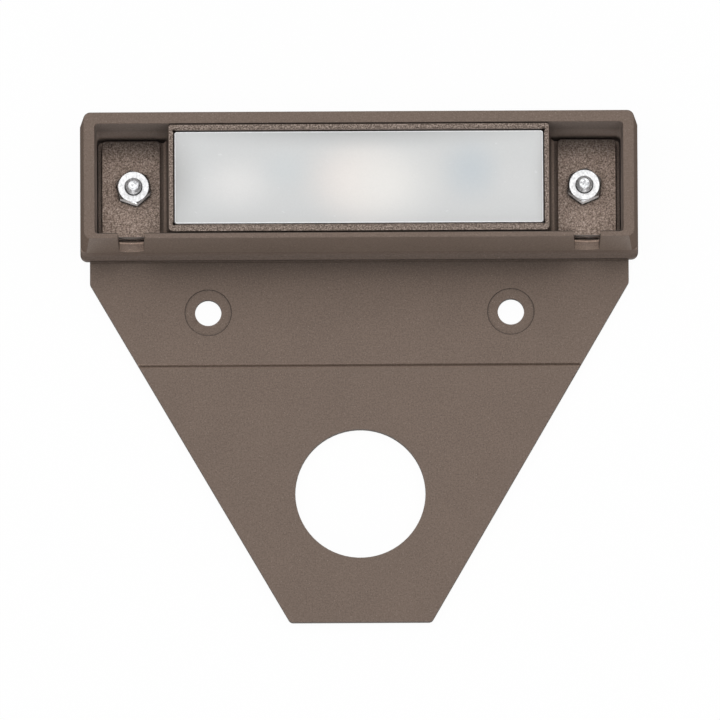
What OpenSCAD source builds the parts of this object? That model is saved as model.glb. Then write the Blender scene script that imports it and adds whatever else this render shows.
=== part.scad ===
// Step light: a cast head with a mounting plate, and a sealed lamp held in the head by two nuts.
// It lies on its mounting face with the lens up. The origin is midway between the two screw holes,
// on the mounting face; +X runs along the lens and +Y points from the screw holes to the head.

/* [Head] */
// Width of the head at its foot
head_w = 127; // [124:0.5:134]
// Depth of the head at its foot, from the back wall to the front wall
head_d = 32.1; // [31.5:0.1:36]
// Height of the head, from the mounting face to the rim
head_h = 20; // [19:0.5:24]
// How far the end walls and the front wall lean in between foot and rim
wall_draft = 0.9; // [0.5:0.1:1.1]
// How far the back wall leans in between its cove and the rim
back_lean = 0.7; // [0.4:0.1:1]
// Width of the cove along the back wall's foot
cove_w = 1.4; // [0.8:0.1:1.6]
// Height of that cove above the tray floor
cove_h = 2.4; // [1.5:0.1:2.5]
// Width of the rim at the two ends
side_lip = 2.55; // [2:0.05:3]
// Width of the rim along the front
front_lip = 2.65; // [2.2:0.05:3]
// Width of the rim along the back wall
back_lip = 1.3; // [1.1:0.1:1.6]
// How far the tray's end walls lean in towards its floor
side_taper = 0.5; // [0.4:0.1:1]
// How far the tray's front wall leans in towards its floor
front_taper = 1.28; // [1:0.01:1.4]
// How far the tray's back wall leans in towards its floor
back_taper = 0.3; // [0.1:0.1:0.4]
// Thickness of the tray floor
floor_t = 2.4; // [2.2:0.1:3]
// Radius of the head's upright outer corners
corner_r = 1.6; // [1:0.1:2.4]
// Radius of the tray's upright corners
tray_corner_r = 0.8; // [0.4:0.1:1.2]
// Rounding of the rim's outer edge
rim_edge_r = 0.3; // [0.2:0.1:0.6]
// Size of the sloped foot round the tray floor
floor_cove = 0.2; // [0.2:0.1:0.5]

/* [Drain notches] */
// Distance from the tray's end wall at the rim to the middle of a notch
notch_inset = 8.25; // [7.5:0.05:9.5]
// Width of a notch at the rim
notch_w = 6.2; // [6:0.1:8]
// Width of a notch just above its round bottom
notch_low_w = 5.6; // [5:0.1:5.9]
// How far the round bottom sags
notch_sag = 0.9; // [0.5:0.1:1.5]
// Height of a notch's lowest point above the mounting face
notch_floor = 5; // [5:0.1:8]

/* [Mounting plate] */
// Thickness of the plate
plate_t = 2; // [1.6:0.1:3]
// How far the plate's sides lie inside the head's ends
plate_inset = 2.17; // [1.7:0.01:6]
// Width of the tail's end
tail_w = 32.2; // [26:0.2:44]
// Distance from the screw holes to the tail's end
tail_reach = 71.4; // [62:0.2:84]
// Distance from the screw holes to where the plate starts to narrow
shoulder_y = 7; // [4:0.2:9]
// Rounding of the plate's corners
plate_corner_r = 1.2; // [0.5:0.1:3]
// Distance from the screw holes to the foot of the back wall
hole_to_wall = 12.1; // [11:0.1:14]
// Distance between the two screw holes
hole_spacing = 68.9; // [50:0.1:80]
// Diameter of a screw hole
hole_d = 6; // [4:0.1:7]
// Diameter of the flat machined round each screw hole
spot_d = 10.7; // [9:0.1:14]
// Depth of the flat machined round each screw hole
spot_depth = 0.3; // [0.1:0.05:0.4]
// Diameter of the large hole in the tail
tail_hole_d = 29.6; // [20:0.2:32]
// Distance from the screw holes to the large hole's centre
tail_hole_y = 41.8; // [38:0.2:46]
// Distance from the screw holes to the score line
score_y = 12.3; // [8:0.1:18]
// Width of the score line
score_w = 0.9; // [0.6:0.1:1.4]
// Depth of the score line
score_depth = 0.5; // [0.3:0.1:0.8]
// Width of the groove along the back wall's foot
foot_groove_w = 0.55; // [0.3:0.05:0.8]
// Depth of that groove
foot_groove_depth = 0.45; // [0.2:0.05:0.6]

/* [Lamp carrier] */
// Rounding of the frame's two corners at the back bar
frame_corner_r = 1; // [0.5:0.1:1.3]
// Width of a nut pocket at the rim, from the tray's end wall to the lens frame
pocket_w = 16.85; // [15:0.05:20]
// Gap between the frame and the tray walls, at the rim
frame_gap = 0.3; // [0.25:0.05:0.5]
// Width of the frame's end bars
end_bar = 1; // [0.8:0.1:1.4]
// Width of the frame's front bar
front_bar = 1.2; // [1:0.1:1.5]
// Width of the frame's back bar
back_bar = 1.6; // [1.3:0.1:1.9]
// Bevel along the inner edges of the front and back bars
bar_bevel = 0.45; // [0.3:0.05:0.6]
// How far the frame's end walls spread between its face and its foot
frame_spread = 0.75; // [0.4:0.05:0.9]
// How far the frame's front wall leans in towards its foot
frame_lean = 1.6; // [1.4:0.1:1.8]
// How far the frame's back wall leans in towards its foot
frame_back_lean = 0.55; // [0.4:0.05:0.7]
// Thickness of the ears
ear_t = 4.6; // [4:0.1:5]
// Width of the step at the foot of the frame's end walls
foot_step = 0.5; // [0.3:0.1:0.6]
// Width of the groove between that step and the ear
groove_w = 0.85; // [0.6:0.05:1.1]
// Depth of that groove
groove_depth = 2.6; // [1.5:0.1:3.5]
// Gap between the ear's end and the tray's end wall, at the floor
ear_end_gap = 1.1; // [0.8:0.05:1.5]
// Gap between the ear and the tray's back wall, at the floor
ear_back_gap = 0.92; // [0.7:0.01:1.4]
// Gap between the ear and the tray's front wall, at the floor
ear_front_gap = 0.57; // [0.52:0.01:0.9]
// Rounding of the ear's corners
ear_corner_r = 0.8; // [0.3:0.1:1.5]

/* [Studs and nuts] */
// Distance from a stud to the outer end of its ear
stud_inset = 7.15; // [6:0.05:8]
// Diameter of a stud's thread
stud_d = 3.8; // [3:0.1:4.4]
// How far a stud stands out of its nut
stud_proud = 2.1; // [1:0.1:3]
// Diameter of a stud's pressed-in head
stud_head_d = 6; // [5.6:0.1:7]
// Thickness of a stud's pressed-in head
stud_head_t = 1.1; // [0.8:0.1:1.2]
// Width of a nut across its flats
nut_af = 7; // [6.5:0.1:8]
// Height of a nut
nut_h = 3.2; // [2.6:0.1:4]
// Turn of the left nut's corner about its stud, in degrees
nut_turn_left = -78; // [-180:1:180]
// Turn of the right nut's corner about its stud, in degrees
nut_turn_right = -97; // [-180:1:180]

/* [Lens] */
// Thickness of the glass
lens_t = 3; // [2:0.2:4]
// How far the glass lies below the frame's face
lens_recess = 1; // [0.5:0.1:1.5]
// Gap between the glass and the frame
lens_gap = 0.25; // [0.15:0.05:0.3]
// Rounding of the glass's corners
lens_corner_r = 0.6; // [0.4:0.1:1]
// Radius of the small reliefs in the corners of the lens opening
relief_r = 0.4; // [0.3:0.1:0.5]
// Thickness of the seal under the glass
lens_seal_t = 0.6; // [0.4:0.1:1]
// Width of the ledge under the glass's ends
end_ledge = 1.4; // [1:0.1:1.8]
// Width of the ledge under the glass's front edge
front_ledge = 2.75; // [2.5:0.05:3.2]
// Width of the ledge under the glass's back edge
back_ledge = 1.8; // [1.4:0.1:2.2]

/* [Back cover] */
// Thickness of the back cover
cover_t = 2; // [1.8:0.1:2.4]
// Width of the ledge that the cover closes against
cover_ledge = 1.2; // [0.9:0.1:1.4]
// Thickness of the cover's seal
cover_seal_t = 0.5; // [0.4:0.1:0.8]
// Height of the pad that carries the board
pedestal_h = 1.2; // [0.8:0.1:1.6]
// Diameter of the small screws
screw_d = 2.5; // [2:0.1:2.6]
// Diameter of the small screws' heads
screw_head_d = 4.4; // [4:0.1:4.8]
// Height of the small screws' heads
screw_head_t = 1.1; // [0.8:0.1:1.3]
// Radius of the screw bosses inside the carrier
boss_r = 2.2; // [2:0.1:2.5]
// Height of the screw bosses above the cover
boss_h = 6; // [5:0.2:7]
// Diameter of the hole for the supply lead
lead_d = 4.6; // [4:0.1:5]
// Wall of the grommet round the supply lead
grommet_wall = 1.2; // [0.9:0.1:1.4]

/* [Lamp] */
// Distance from the last light source to the board's end beside the supply lead
led_inset = 13.2; // [12:0.1:16]
// Width of a light source's base
led_w = 3.5; // [3:0.1:4]
// Height of a light source's base
led_t = 0.8; // [0.6:0.1:1]
// Radius of a light source's dome
dome_r = 1.3; // [1:0.1:1.4]
// Thickness of the board
board_t = 1.6; // [1:0.1:1.6]
// Gap between the board and the bay's front and back walls
board_gap = 1; // [0.8:0.1:1.4]
// Thickness of the heat pad under the board
pad_t = 0.3; // [0.2:0.1:0.5]
// Thickness of the reflector's walls
reflector_t = 0.8; // [0.6:0.1:1]
// Height of the reflector's legs above the board
leg_h = 1.8; // [1.7:0.1:2]

/* [Hidden] */
$fn = 64;

// Overrun of the cuts, thickness of the outlines that a hull joins, and running and seating clearances
over = 1;
skin = 0.1;
play = 0.05;
seat_gap = 0.1;

// Head, at its foot and at its rim
foot_x = head_w / 2;
foot_back = hole_to_wall;
foot_front = foot_back + head_d;
rim_x = foot_x - wall_draft;
wall_back = foot_back + cove_w;
rim_back = wall_back + back_lean;
rim_front = foot_front - wall_draft;
// Tray, at its rim and at its floor
tray_x = rim_x - side_lip;
tray_back = rim_back + back_lip;
tray_front = rim_front - front_lip;
floor_x = tray_x - side_taper;
floor_back = tray_back + back_taper;
floor_front = tray_front - front_taper;
notch_x = tray_x - notch_inset;
plate_x = foot_x - plate_inset;
notch_r = (pow(notch_low_w / 2, 2) + pow(notch_sag, 2)) / (2 * notch_sag);

// Lamp carrier: face, foot, ears and lens opening
frame_x = tray_x - pocket_w;
frame_back = tray_back + frame_gap;
frame_front = tray_front - frame_gap;
frame_foot_x = frame_x + frame_spread;
frame_foot_back = frame_back + frame_back_lean;
frame_foot_front = frame_front - frame_lean;
step_x = frame_foot_x + foot_step;
ear_in = step_x + groove_w;
ear_out = floor_x - ear_end_gap;
ear_back = floor_back + ear_back_gap;
ear_front = floor_front - ear_front_gap;
ear_top = floor_t + ear_t;
stud_x = ear_out - stud_inset;
stud_y = (ear_back + ear_front) / 2;
open_x = frame_x - end_bar;
open_back = frame_back + back_bar;
open_front = frame_front - front_bar;
lens_top = head_h - lens_recess;
lens_z = lens_top - lens_t;
ledge_z = lens_z - lens_seal_t;

// Bay inside the carrier, and what is stacked in it from the cover upwards
bay_x = open_x - end_ledge;
bay_back = open_back + back_ledge;
bay_front = open_front - front_ledge;
bay_mid = (bay_back + bay_front) / 2;
bay_half = (bay_front - bay_back) / 2;
cover_top = floor_t + cover_t;
cover_step = cover_top + cover_seal_t;
pedestal_top = cover_top + pedestal_h;
board_z = pedestal_top + pad_t;
board_top = board_z + board_t;
reflector_z = board_top + leg_h;
boss_x = bay_x - boss_r;
boss_hole_top = cover_top + boss_h - boss_r / 2;
boss_y = bay_half - boss_r + seat_gap;

// Board: its left end, its right end, which leaves room for the grommet, and its half width
grommet_r = lead_d / 2 + grommet_wall;
grommet_flange = 0.4;
grommet_x = bay_x - grommet_r - 2 * grommet_flange - cover_ledge;
board_left = boss_x - boss_r - 2 * seat_gap;
board_right = grommet_x - grommet_r - grommet_flange - 2 * seat_gap;
board_half = bay_half - board_gap;
led_pitch = board_right - led_inset;
led_mid = led_pitch / 2;
// Places on the board: distances in from its nearer end, and shares of its half width
board_screw_inset = 3.4;
board_screw_share = -0.62;
choke_inset = 4.3;
choke_share = 0.45;
rectifier_inset = 9.4;
rectifier_share = -0.55;
regulator_inset = 10.9;
regulator_share = 0.5;
header_inset = 3.1;
header_share = 0.42;
capacitor_share = 0.62;
resistor_share = -0.6;
resistor_pitch = 4.4;
// Sizes of the small parts on the board: along X, along Y and in height
rectifier_size = [4.2, 3.6, 1.5];
regulator_size = [4.4, 3.4, 1.5];
choke_size = [5.4, 5.4, 2.6];
choke_core_share = 0.86;
capacitor_size = [3.2, 1.6, 1.5];
resistor_size = [1.6, 2.4, 0.55];
header_size = [4.6, 6, 2.6];

// Stud and nut heights
nut_z = ear_top;
nut_top = nut_z + nut_h;
stud_top = nut_top + stud_proud;
stud_z = 0.2;

// Points of an arc about a centre, from one angle to another
function arc(centre, r, from, to, steps = 12) =
    [for (i = [0:steps])
        let (turn = from + (to - from) * i / steps)
            centre + r * [cos(turn), sin(turn)]];

// Flat rounded rectangle from one corner to the opposite one
module slab(x0, x1, y0, y1, r) {
    translate([x0 + r, y0]) square([x1 - x0 - 2 * r, y1 - y0]);
    translate([x0, y0 + r]) square([x1 - x0, y1 - y0 - 2 * r]);
    for (x = [x0 + r, x1 - r])
        for (y = [y0 + r, y1 - r])
            translate([x, y]) circle(r);
}

// The same rectangle as a block between two heights
module block(x0, x1, y0, y1, r, z0, z1) {
    translate([0, 0, z0]) linear_extrude(z1 - z0) slab(x0, x1, y0, y1, r);
}

// Copies its children at both ends of the X axis
module both_ends() {
    children();
    mirror([1, 0, 0]) children();
}

// Puts its children on the board: distance along it, share of its half width, and height
module on_board(x, share, z = board_top) {
    translate([x, bay_mid + share * board_half, z]) children();
}

// The same for the two screws that hold the board
module at_board_screws(z) {
    for (x = [-board_left + board_screw_inset, board_right - board_screw_inset])
        on_board(x, board_screw_share, z) children();
}

// Corner post of the head with the rim's rounded edge
module rim_post() {
    rotate_extrude($fn = 32)
        polygon(concat([[0, 0]], arc([corner_r - rim_edge_r, 0], rim_edge_r, 0, 90, 3), [[0, rim_edge_r]]));
}

module head_block() {
    hull() {
        translate([0, 0, floor_t])
            linear_extrude(skin) slab(-foot_x, foot_x, wall_back, foot_front, corner_r, $fn = 32);
        for (x = [-rim_x + corner_r, rim_x - corner_r])
            for (y = [rim_back + corner_r, rim_front - corner_r])
                translate([x, y, head_h - rim_edge_r]) rim_post();
    }
}

// The tray's hollow, from the sloped foot at its floor up through the rim
module tray_hollow() {
    hull() {
        translate([0, 0, floor_t - skin])
            linear_extrude(2 * skin)
                slab(-floor_x + floor_cove, floor_x - floor_cove, floor_back + floor_cove,
                    floor_front - floor_cove, tray_corner_r, $fn = 32);
        translate([0, 0, floor_t + floor_cove])
            linear_extrude(skin) slab(-floor_x, floor_x, floor_back, floor_front, tray_corner_r, $fn = 32);
        translate([0, 0, head_h])
            linear_extrude(over) slab(-tray_x, tray_x, tray_back, tray_front, tray_corner_r, $fn = 32);
    }
}

// Concave foot of the back wall, from the floor's edge up into the wall's face
module back_cove() {
    steps = 8;
    start = 20;
    end_inset = wall_draft * cove_h / (head_h - floor_t) + play;
    width = cove_w + back_lean * cove_h / (head_h - floor_t) + play;
    face = [for (i = [0:steps])
        let (turn = start + (90 - start) * i / steps)
            [width * (sin(turn) - sin(start)) / (1 - sin(start)), cove_h * (1 - cos(turn) / cos(start))]];
    intersection() {
        linear_extrude(head_h)
            slab(-foot_x + end_inset, foot_x - end_inset, foot_back, foot_front, corner_r, $fn = 32);
        translate([0, foot_back, floor_t])
            rotate([90, 0, 90])
                linear_extrude(head_w, center = true)
                    polygon(concat(face, [[cove_w + corner_r, cove_h], [cove_w + corner_r, 0]]));
    }
}

// Notch through the back wall: straight sides on a shallow round bottom
module notch() {
    half = notch_low_w / 2;
    turn = asin(half / notch_r);
    translate([notch_x, tray_back + over, 0])
        rotate([90, 0, 0])
            linear_extrude(back_lip + back_lean + 2 * over)
                polygon(concat(arc([0, notch_floor + notch_r], notch_r, -90 - turn, turn - 90),
                    [[notch_w / 2, head_h], [notch_w / 2, head_h + over],
                    [-notch_w / 2, head_h + over], [-notch_w / 2, head_h]]));
}

module plate_outline() {
    slope = atan2(plate_x - tail_w / 2, shoulder_y + tail_reach);
    shoulder_c = [plate_x - plate_corner_r, shoulder_y];
    tail_c = [tail_w / 2 - plate_corner_r * tan((90 - slope) / 2), -tail_reach + plate_corner_r];
    right = concat([[plate_x, foot_back + 2 * corner_r]],
        arc(shoulder_c, plate_corner_r, 0, -slope, 4),
        arc(tail_c, plate_corner_r, -slope, -90, 8));
    left = [for (i = [len(right) - 1:-1:0]) [-right[i][0], right[i][1]]];
    polygon(concat(right, left));
}

// The casting's upper part: the walls round the tray, on the floor that base_plate has
module head_walls() {
    color([0.46, 0.41, 0.375])
        difference() {
            union() {
                head_block();
                back_cove();
            }
            tray_hollow();
            both_ends() notch();
        }
}

// The casting's lower part: the mounting plate and the tray's floor
module base_plate() {
    color([0.46, 0.41, 0.375])
        difference() {
            union() {
                linear_extrude(floor_t) slab(-foot_x, foot_x, foot_back, foot_front, corner_r);
                linear_extrude(plate_t) plate_outline();
            }
            both_ends() screw_hole();
            translate([0, -tail_hole_y, -over]) cylinder(d = tail_hole_d, h = plate_t + 2 * over);
            translate([0, -score_y, plate_t])
                rotate([90, 0, 90])
                    linear_extrude(head_w, center = true)
                        polygon([[-score_w / 2, 0], [0, -score_depth], [score_w / 2, 0],
                            [score_w / 2, over], [-score_w / 2, over]]);
            translate([-head_w, foot_back - foot_groove_w, plate_t - foot_groove_depth])
                cube([2 * head_w, foot_groove_w, over]);
            both_ends() stud_hole();
            translate([grommet_x, bay_mid, -over]) cylinder(r = grommet_r + seat_gap, h = floor_t + 2 * over);
        }
}

module screw_hole() {
    translate([hole_spacing / 2, 0, -over]) cylinder(d = hole_d, h = plate_t + 2 * over);
    translate([hole_spacing / 2, 0, plate_t - spot_depth]) cylinder(d = spot_d, h = over);
}

// Hole for a stud through the tray floor, with a seat for its head on the mounting face
module stud_hole() {
    translate([stud_x, stud_y, -over]) {
        cylinder(r = stud_d / 2 + play, h = floor_t + 2 * over);
        cylinder(r = stud_head_d / 2 + play, h = over + stud_z + stud_head_t);
    }
}

// Stud with its pressed head in the tray floor and a chamfered end above the nut
module stud(x) {
    r = stud_d / 2;
    chamfer = r / 3;
    color("silver")
        translate([x, stud_y, 0])
            rotate_extrude()
                polygon([[0, stud_z], [stud_head_d / 2, stud_z], [stud_head_d / 2, stud_z + stud_head_t],
                    [r, stud_z + stud_head_t], [r, stud_top - chamfer], [r - chamfer, stud_top],
                    [0, stud_top]]);
}

module stud_left() {
    stud(-stud_x);
}

module stud_right() {
    stud(stud_x);
}

// Hexagon nut with both faces chamfered
module nut(x, turn) {
    face_r = nut_af / 2 - play;
    corner = nut_af / sqrt(3);
    rim = corner + play;
    bevel = (rim - face_r) * tan(30);
    bore = stud_d / 2 + play;
    sink = play;
    color("gainsboro")
        translate([x, stud_y, nut_z])
            difference() {
                intersection() {
                    rotate([0, 0, turn]) cylinder(r = corner, h = nut_h, $fn = 6);
                    rotate_extrude()
                        polygon([[0, 0], [face_r, 0], [rim, bevel], [rim, nut_h - bevel],
                            [face_r, nut_h], [0, nut_h]]);
                }
                rotate_extrude()
                    polygon([[0, -over], [bore + sink, -over], [bore + sink, 0], [bore, sink],
                        [bore, nut_h - sink], [bore + sink, nut_h], [bore + sink, nut_h + over],
                        [0, nut_h + over]]);
            }
}

module nut_left() {
    nut(-stud_x, nut_turn_left);
}

module nut_right() {
    nut(stud_x, nut_turn_right);
}

// Corners of the bay where the cover's screws go in
module at_bosses() {
    for (x = [-boss_x, boss_x])
        for (y = [bay_mid - boss_y, bay_mid + boss_y])
            translate([x, y, 0]) children();
}

module lamp_carrier() {
    color([0.45, 0.4, 0.36])
        difference() {
            union() {
                difference() {
                    carrier_blank();
                    block(-open_x, open_x, open_back, open_front, lens_corner_r, ledge_z, head_h + over);
                    corner_reliefs();
                    block(-bay_x, bay_x, bay_back, bay_front, lens_corner_r, 0, head_h);
                    block(-bay_x - cover_ledge, bay_x + cover_ledge, bay_back - cover_ledge,
                        bay_front + cover_ledge, lens_corner_r, 0, cover_step);
                    bar_bevels();
                }
                at_bosses() translate([0, 0, cover_top]) cylinder(r = boss_r, h = boss_h);
            }
            at_bosses() cylinder(r = screw_d / 2 + play, h = boss_hole_top);
            both_ends()
                translate([stud_x, stud_y, 0]) cylinder(d = stud_d + 2 * seat_gap, h = head_h);
        }
}

// Rounds at the frame's four corners, for a half length and its back and front edges
module frame_corners(half, back, front) {
    for (side = [-1, 1]) {
        translate([side * (half - frame_corner_r), back + frame_corner_r]) circle(frame_corner_r, $fn = 32);
        translate([side * (half - lens_corner_r), front - lens_corner_r]) circle(lens_corner_r, $fn = 32);
    }
}

// Frame, step, web and ears before anything is cut
module carrier_blank() {
    hull() {
        translate([0, 0, floor_t])
            linear_extrude(skin) frame_corners(frame_foot_x, frame_foot_back, frame_foot_front);
        translate([0, 0, head_h - skin]) linear_extrude(skin) frame_corners(frame_x, frame_back, frame_front);
    }
    block(-step_x, step_x, ear_back, ear_front, ear_corner_r, floor_t, ear_top);
    block(-ear_out, ear_out, ear_back, ear_front, ear_corner_r, floor_t, ear_top - groove_depth);
    both_ends() block(ear_in, ear_out, ear_back, ear_front, ear_corner_r, floor_t, ear_top);
}

// Round reliefs that let the glass's corners into the opening
module corner_reliefs() {
    inset = relief_r / 2;
    for (x = [-open_x + inset, open_x - inset])
        for (y = [open_back + inset, open_front - inset])
            translate([x, y, ledge_z]) cylinder(r = relief_r, h = head_h);
}

// Sloped inner edges of the frame's two long bars
module bar_bevels() {
    for (side = [-1, 1])
        translate([0, side < 0 ? open_back : open_front, head_h])
            rotate([90, 0, 90])
                linear_extrude(2 * open_x, center = true)
                    polygon([[0, over], [side * bar_bevel, over], [side * bar_bevel, 0], [0, -bar_bevel],
                        [-side * over, -bar_bevel], [-side * over, over]]);
}

module lens() {
    color([0.9, 0.93, 0.95, 0.8])
        block(-open_x + lens_gap, open_x - lens_gap, open_back + lens_gap, open_front - lens_gap,
            lens_corner_r, lens_z, lens_top);
}

module lens_gasket() {
    color("dimgray")
        difference() {
            block(-open_x + lens_gap, open_x - lens_gap, open_back + lens_gap, open_front - lens_gap,
                lens_corner_r, ledge_z, lens_z);
            block(-bay_x, bay_x, bay_back, bay_front, lens_corner_r, ledge_z - over, lens_z + over);
        }
}

// Block whose four sides slope from a floor size to a top size, about the middle of the bay
module trough(floor_half, top_half, z0, z1) {
    span = 4 * bay_x;
    intersection() {
        rotate([90, 0, 0])
            linear_extrude(span, center = true)
                polygon([[-floor_half[0], z0], [floor_half[0], z0], [top_half[0], z1], [-top_half[0], z1]]);
        translate([0, bay_mid, 0])
            rotate([90, 0, 90])
                linear_extrude(span, center = true)
                    polygon([[-floor_half[1], z0], [floor_half[1], z0],
                        [top_half[1], z1], [-top_half[1], z1]]);
    }
}

module reflector_tray() {
    flat_half = [led_pitch + led_w / 2 + reflector_t, board_half - 2 * reflector_t];
    top_half = [bay_x - 2 * seat_gap, bay_half - 2 * seat_gap];
    rim = [reflector_t, reflector_t];
    color("white") {
        difference() {
            trough(flat_half, top_half, reflector_z, lens_z - seat_gap);
            trough(flat_half - rim, top_half - rim, reflector_z + reflector_t, lens_z + seat_gap);
            for (x = [-led_pitch, 0, led_pitch])
                translate([x, bay_mid, reflector_z - over])
                    cylinder(r = dome_r + reflector_t, h = reflector_t + 2 * over);
        }
        for (x = [-led_mid, led_mid])
            on_board(x, 0) cylinder(r = reflector_t, h = leg_h + reflector_t / 2);
    }
}

module led_board() {
    color("whitesmoke")
        difference() {
            block(-board_left, board_right, bay_mid - board_half, bay_mid + board_half, lens_corner_r,
                board_z, board_top);
            at_board_screws(board_z - over) cylinder(d = screw_d + 2 * seat_gap, h = board_t + 2 * over);
        }
}

module at_leds(z) {
    for (x = [-led_pitch, 0, led_pitch])
        translate([x, bay_mid, z]) children();
}

module led_packages() {
    cut = led_w / 6;
    color("beige")
        at_leds(board_top)
            difference() {
                translate([-led_w / 2, -led_w / 2, 0]) cube([led_w, led_w, led_t]);
                translate([led_w / 2, led_w / 2, 0])
                    rotate([0, 0, 45]) cube([cut, 2 * cut, 3 * led_t], center = true);
            }
}

module led_domes() {
    color("gold")
        at_leds(board_top + led_t)
            intersection() {
                sphere(dome_r);
                cylinder(r = 2 * dome_r, h = 2 * dome_r);
            }
}

// Small flat part with a row of legs along two sides: size, legs on each side
module leaded_part(size, legs) {
    leg_pitch = size[0] / legs;
    leg_w = leg_pitch / 3;
    leg_t = size[2] / 8;
    reach = size[2] / 2;
    translate([-size[0] / 2, -size[1] / 2, leg_t]) cube([size[0], size[1], size[2] - leg_t]);
    for (i = [0:legs - 1])
        translate([i * leg_pitch + leg_pitch / 2 - size[0] / 2 - leg_w / 2, 0, 0]) {
            translate([0, -size[1] / 2 - reach, 0]) cube([leg_w, size[1] + 2 * reach, leg_t]);
            for (side = [-1, 1])
                translate([0, side * (size[1] / 2 + reach / 4) - reach / 4, 0])
                    cube([leg_w, reach / 2, size[2] / 2]);
        }
}

module rectifier() {
    color([0.12, 0.12, 0.13])
        on_board(-board_left + rectifier_inset, rectifier_share) leaded_part(rectifier_size, 2);
}

module regulator() {
    color([0.1, 0.1, 0.11])
        on_board(-board_left + regulator_inset, regulator_share) leaded_part(regulator_size, 4);
}

// Wound choke: two square flanges on a round core
module choke() {
    half = choke_size / 2;
    height = choke_size[2];
    flange_t = height / 4;
    color([0.25, 0.25, 0.27])
        on_board(-board_left + choke_inset, choke_share) {
            for (z = [0, height - flange_t])
                block(-half[0], half[0], -half[1], half[1], half[0] / 4, z, z + flange_t);
            translate([0, 0, flange_t / 2])
                cylinder(d = choke_size[0] * choke_core_share, h = height - flange_t);
        }
}

// Block with a metal cap at each end, long way given by its larger side
module capped_chip(size) {
    cap = size[1] / 4;
    rim = size[2] / 16;
    translate([-size[0] / 2 + rim, -size[1] / 2, rim]) cube([size[0] - 2 * rim, size[1], size[2] - 2 * rim]);
    for (side = [-1, 1])
        translate([-size[0] / 2, side * (size[1] / 2 - cap / 2) - cap / 2, 0]) cube([size[0], cap, size[2]]);
}

module capacitors() {
    color("tan")
        for (x = [-led_mid, led_mid])
            on_board(x, capacitor_share) capped_chip(capacitor_size);
}

module resistors() {
    color([0.15, 0.15, 0.16])
        for (middle = [-led_mid, led_mid])
            for (side = [-1, 1])
                on_board(middle + side * resistor_pitch / 2, resistor_share) capped_chip(resistor_size);
}

// Two-way header on the board, open towards the grommet
module lead_header() {
    wall = header_size[2] / 5;
    port_w = (header_size[1] - 3 * wall) / 2;
    color("ivory")
        on_board(board_right - header_inset, header_share)
            difference() {
                translate([-header_size[0] / 2, -header_size[1] / 2, 0]) cube(header_size);
                for (side = [-1, 1])
                    translate([-header_size[0] / 2 + 2 * wall, side * (port_w + wall) / 2 - port_w / 2, wall])
                        cube([header_size[0], port_w, header_size[2] - 2 * wall]);
            }
}

module thermal_pad() {
    color("lightpink")
        difference() {
            block(-board_left, board_right, bay_mid - board_half, bay_mid + board_half, lens_corner_r,
                pedestal_top, board_z);
            at_board_screws(pedestal_top - over) cylinder(d = screw_d + 2 * seat_gap, h = pad_t + 2 * over);
        }
}

// Screw with its head up, a domed edge and a cross in it; it stands on z = 0 and reaches down
module pan_screw(reach) {
    edge = screw_head_t / 2;
    r = screw_head_d / 2;
    slot = screw_head_d / 6;
    difference() {
        rotate_extrude()
            polygon(concat([[0, -reach], [screw_d / 2, -reach], [screw_d / 2, 0], [r, 0]],
                arc([r - edge, screw_head_t - edge], edge, 0, 90, 6), [[0, screw_head_t]]));
        for (turn = [0, 90])
            rotate([0, 0, turn])
                translate([0, 0, screw_head_t]) cube([3 * slot, slot, screw_head_t], center = true);
    }
}

module board_screws() {
    color("silver")
        at_board_screws(board_top) pan_screw(board_t + pad_t + pedestal_h + cover_t / 2);
}

module back_cover() {
    lip = cover_ledge - seat_gap;
    color([0.75, 0.76, 0.78])
        difference() {
            union() {
                block(-bay_x - lip, bay_x + lip, bay_back - lip, bay_front + lip, lens_corner_r,
                    floor_t, cover_top);
                block(-board_left, board_right, bay_mid - board_half, bay_mid + board_half, lens_corner_r,
                    floor_t, pedestal_top);
            }
            at_board_screws(floor_t + cover_t / 2 - seat_gap)
                cylinder(r = screw_d / 2 + play, h = pedestal_top);
            at_bosses() {
                translate([0, 0, floor_t - over]) cylinder(r = screw_d / 2 + play, h = cover_t + 2 * over);
                translate([0, 0, floor_t - over])
                    cylinder(r = screw_head_d / 2 + play, h = over + screw_head_t + seat_gap);
            }
            translate([grommet_x, bay_mid, floor_t - over])
                cylinder(r = grommet_r - grommet_flange + play, h = cover_t + 2 * over);
        }
}

module cover_gasket() {
    lip = cover_ledge - seat_gap;
    inset = 2 * seat_gap;
    color("dimgray")
        difference() {
            block(-bay_x - lip, bay_x + lip, bay_back - lip, bay_front + lip, lens_corner_r,
                cover_top, cover_step);
            block(-bay_x - inset, bay_x + inset, bay_back - inset, bay_front + inset, lens_corner_r,
                cover_top - over, cover_step + over);
        }
}

// Flush screws that hold the cover, heads down
module cover_screws() {
    head_z = floor_t + seat_gap + screw_head_t;
    color("silver")
        at_bosses()
            translate([0, 0, head_z])
                rotate([180, 0, 0]) pan_screw(boss_hole_top - seat_gap - head_z);
}

// Rubber grommet: sleeve in the tray floor, neck in the cover and flange inside
module cable_grommet() {
    bore = lead_d / 2;
    color([0.13, 0.13, 0.13])
        translate([grommet_x, bay_mid, 0])
            rotate_extrude()
                polygon([[bore, seat_gap], [grommet_r, seat_gap], [grommet_r, floor_t],
                    [grommet_r - grommet_flange, floor_t], [grommet_r - grommet_flange, cover_top],
                    [grommet_r + grommet_flange, cover_top], [grommet_r + grommet_flange, pedestal_top],
                    [bore, pedestal_top]]);
}

base_plate();
head_walls();
stud_left();
stud_right();
nut_left();
nut_right();
lamp_carrier();
lens();
lens_gasket();
reflector_tray();
led_board();
led_packages();
led_domes();
rectifier();
regulator();
choke();
capacitors();
resistors();
lead_header();
thermal_pad();
board_screws();
back_cover();
cover_gasket();
cover_screws();
cable_grommet();
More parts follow.
